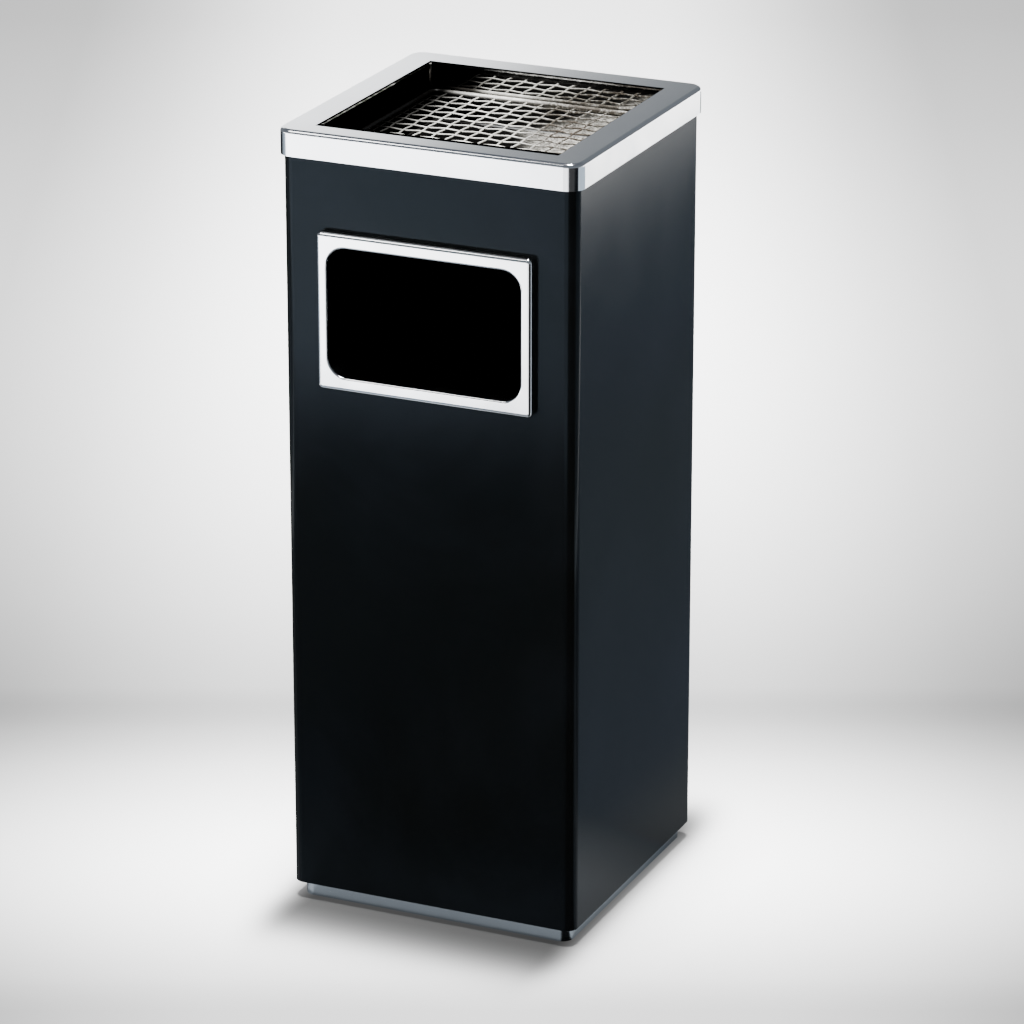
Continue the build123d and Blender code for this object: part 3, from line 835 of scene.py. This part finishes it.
def addMirroredTone(tree, coords, place):
    # Painted for mirrored rays only: by distance to the side and the front, and by direction out from
    # the plinth's outline
    plinthLow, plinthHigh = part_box("plinth_band")
    corner = Vector(grey(floorTone["corner"]))
    inner = addNode(tree, "ShaderNodeVectorMath", (place[0] - 400, place[1] - 300), operation="MAXIMUM")
    inner.inputs[1].default_value = Vector(plinthLow) + corner
    core = addNode(tree, "ShaderNodeVectorMath", (place[0] - 200, place[1] - 300), operation="MINIMUM")
    core.inputs[1].default_value = Vector(plinthHigh) - corner
    outward = addNode(tree, "ShaderNodeVectorMath", (place[0], place[1] - 300), operation="SUBTRACT")
    outwardSplit = addNode(tree, "ShaderNodeSeparateXYZ", (place[0] + 100, place[1] - 300))
    tree.links.new(coords, inner.inputs[0])
    tree.links.new(inner.outputs["Vector"], core.inputs[0])
    tree.links.new(coords, outward.inputs[0])
    tree.links.new(core.outputs["Vector"], outward.inputs[1])
    tree.links.new(outward.outputs["Vector"], outwardSplit.inputs["Vector"])
    split = addNode(tree, "ShaderNodeSeparateXYZ", (place[0], place[1]))
    sideways = addNode(tree, "ShaderNodeMath", (place[0] + 200, place[1]), operation="ABSOLUTE")
    towards = addNode(tree, "ShaderNodeMath", (place[0] + 200, place[1] - 300), operation="MULTIPLY")
    towards.inputs[1].default_value = -1.0
    turn = addNode(tree, "ShaderNodeMath", (place[0] + 400, place[1] - 300), operation="ARCTAN2")
    degree = addNode(tree, "ShaderNodeMath", (place[0] + 600, place[1] - 300), operation="DEGREES")
    reach = floorTone["mirrorFrontReach"]
    sideIn, sideOut = rampOver(
        tree, floorTone["mirrorSide"], 0.0, floorTone["mirrorSideReach"], (place[0] + 800, place[1]), "LINEAR"
    )
    frontIn, frontOut = rampOver(
        tree, floorTone["mirrorFront"], -reach, reach, (place[0] + 800, place[1] - 250), "LINEAR"
    )
    turnIn, turnOut = rampOver(tree, floorTone["mirrorTurn"], -180, 180, (place[0] + 800, place[1] - 500), "LINEAR")
    tree.links.new(coords, split.inputs["Vector"])
    tree.links.new(split.outputs["X"], sideways.inputs[0])
    tree.links.new(outwardSplit.outputs["X"], turn.inputs[0])
    tree.links.new(outwardSplit.outputs["Y"], towards.inputs[0])
    tree.links.new(towards.outputs["Value"], turn.inputs[1])
    tree.links.new(turn.outputs["Value"], degree.inputs[0])
    tree.links.new(sideways.outputs["Value"], sideIn)
    tree.links.new(split.outputs["Y"], frontIn)
    tree.links.new(degree.outputs["Value"], turnIn)
    lit = multiplyColors(tree, sideOut, frontOut, (place[0] + 1300, place[1]), "LIGHTEN")
    return multiplyColors(tree, lit, turnOut, (place[0] + 1500, place[1]))


def makeFloorMaterial():
    material, tree, output = newMaterial("floorPaper")
    shader = addNode(tree, "ShaderNodeBsdfPrincipled", (900, 0))
    shader.inputs["Roughness"].default_value = 0.9
    shader.inputs["Specular IOR Level"].default_value = 0.0
    coords = addNode(tree, "ShaderNodeTexCoord", (-1400, 0)).outputs["Object"]
    seen = addPaintedFloorLight(tree, coords, (-1200, 600))
    # Painted contact shadow
    contactShadow = addPaintedContactShadow(tree, coords, (-1200, 100))
    shaded = multiplyColors(tree, seen, contactShadow, (300, 400))
    mirrored = addMirroredTone(tree, coords, (-1200, -300))
    path = addNode(tree, "ShaderNodeLightPath", (300, 700))
    choice = addNode(tree, "ShaderNodeMix", (600, 0), data_type="RGBA")
    tree.links.new(path.outputs["Is Camera Ray"], choice.inputs[0])
    tree.links.new(mirrored, choice.inputs[6])
    tree.links.new(shaded, choice.inputs[7])
    shader.inputs["Emission Strength"].default_value = floorTone["glow"]
    tree.links.new(choice.outputs[2], shader.inputs["Base Color"])
    tree.links.new(choice.outputs[2], shader.inputs["Emission Color"])
    tree.links.new(shader.outputs[0], output.inputs[0])
    return material


deselectAll()
bpy.ops.mesh.primitive_plane_add(size=floorTone["size"], location=(0, 0, 0))
studioFloor = bpy.context.object
studioFloor.name = "studioFloor"
studioFloor.data.materials.append(makeFloorMaterial())

# Light: an even overhead source, a graded card behind that the rim mirrors, and a sky dim overhead
lights = {
    "overhead": {"strength": 20.0, "angle": 14.0},
    "boxes": {
        "edgeBox": {
            "place": (-0.9, -0.85, 2.0), "aim": (0.0, 0.0, 0.6), "size": (0.5, 0.5), "radiance": 9.0,
            "color": (1.0, 1.0, 1.0),
        },
    },
    "card": {
        "middle": (-0.472, 1.054, 0.935),
        "size": (1.3, 0.9),
        "elevation": 15.7,
        "gradient": (13.05, 0.21, 18.3),
        "tones": [
            (-2.2, (2.8, 2.85, 2.9)), (-1.2, (2.2, 2.23, 2.26)), (-0.27, (1.05, 1.08, 1.1)),
            (0.15, (0.66, 0.69, 0.71)), (1.0, (0.4, 0.42, 0.44)), (1.87, (0.27, 0.29, 0.31)),
            (3.0, (0.21, 0.23, 0.25)),
        ],
    },
    "sky": [(-1.0, (0.5, 0.5, 0.5)), (0.1, (0.22, 0.24, 0.26)), (0.5, (0.18, 0.2, 0.23)), (1.0, (0.1, 0.11, 0.13))],
}


def addGradedCard(values):
    # A white card that fades upwards and to the right, square to the rays that the rim's top mirrors
    turn = math.radians(cameraView["azimuth"])
    deselectAll()
    bpy.ops.mesh.primitive_plane_add(size=1, location=values["middle"])
    card = bpy.context.object
    card.name = "rimCard"
    card.scale = (*values["size"], 1)
    card.rotation_euler = (math.pi / 2 + math.radians(values["elevation"]), 0, turn)
    bpy.ops.object.transform_apply(location=True, rotation=True, scale=True)
    material, tree, output = newMaterial("cardGlow")
    coords = addNode(tree, "ShaderNodeTexCoord", (-1000, 0))
    centred = addNode(tree, "ShaderNodeVectorMath", (-800, 0), operation="SUBTRACT")
    centred.inputs[1].default_value = values["middle"]
    graded = addNode(tree, "ShaderNodeVectorMath", (-600, 0), operation="DOT_PRODUCT")
    graded.inputs[1].default_value = values["gradient"]
    low, high = values["tones"][0][0], values["tones"][-1][0]
    strongest = max(values["tones"][0][1])
    shares = [(place, tuple(part / strongest for part in color)) for place, color in values["tones"]]
    rampIn, rampOut = rampOver(tree, shares, low, high, (-400, 0), "LINEAR")
    glow = addNode(tree, "ShaderNodeEmission", (200, 0))
    glow.inputs["Strength"].default_value = strongest
    tree.links.new(coords.outputs["Object"], centred.inputs[0])
    tree.links.new(centred.outputs["Vector"], graded.inputs[0])
    tree.links.new(graded.outputs["Value"], rampIn)
    tree.links.new(rampOut, glow.inputs["Color"])
    tree.links.new(glow.outputs[0], output.inputs[0])
    card.data.materials.append(material)
    card.visible_camera = False
    card.visible_diffuse = False
    card.visible_shadow = False


def addSoftbox(name, values):
    deselectAll()
    bpy.ops.object.light_add(type="AREA", location=values["place"])
    box = bpy.context.object
    box.name = name
    box.data.shape = "RECTANGLE"
    box.data.size, box.data.size_y = values["size"]
    area = values["size"][0] * values["size"][1]
    box.data.energy = values["radiance"] * math.pi * area
    box.data.color = values["color"]
    facing = Vector(values["aim"]) - Vector(values["place"])
    box.rotation_euler = facing.to_track_quat("-Z", "Y").to_euler()
    box.visible_camera = False
    return box


deselectAll()
bpy.ops.object.light_add(type="SUN", location=(0, 0, 3))
overhead = bpy.context.object
overhead.name = "overheadLight"
overhead.data.energy = lights["overhead"]["strength"]
overhead.data.angle = math.radians(lights["overhead"]["angle"])
for name, values in lights["boxes"].items():
    addSoftbox(name, values)
addGradedCard(lights["card"])


def makeSky(stops):
    world = bpy.data.worlds.new("studioSky")
    world.use_nodes = True
    bpy.context.scene.world = world
    tree = world.node_tree
    tree.nodes.clear()
    place = addNode(tree, "ShaderNodeTexCoord", (-900, 0))
    split = addNode(tree, "ShaderNodeSeparateXYZ", (-700, 0))
    spread = addNode(tree, "ShaderNodeMapRange", (-500, 0))
    spread.inputs["From Min"].default_value = -1.0
    ramp = addNode(tree, "ShaderNodeValToRGB", (-300, 0))
    setRamp(ramp, [((height + 1) / 2, color) for height, color in stops])
    background = addNode(tree, "ShaderNodeBackground", (50, 0))
    output = addNode(tree, "ShaderNodeOutputWorld", (250, 0))
    tree.links.new(place.outputs["Generated"], split.inputs["Vector"])
    tree.links.new(split.outputs["Z"], spread.inputs["Value"])
    tree.links.new(spread.outputs["Result"], ramp.inputs["Fac"])
    tree.links.new(ramp.outputs["Color"], background.inputs["Color"])
    tree.links.new(background.outputs[0], output.inputs[0])


makeSky(lights["sky"])
print("studio lit")
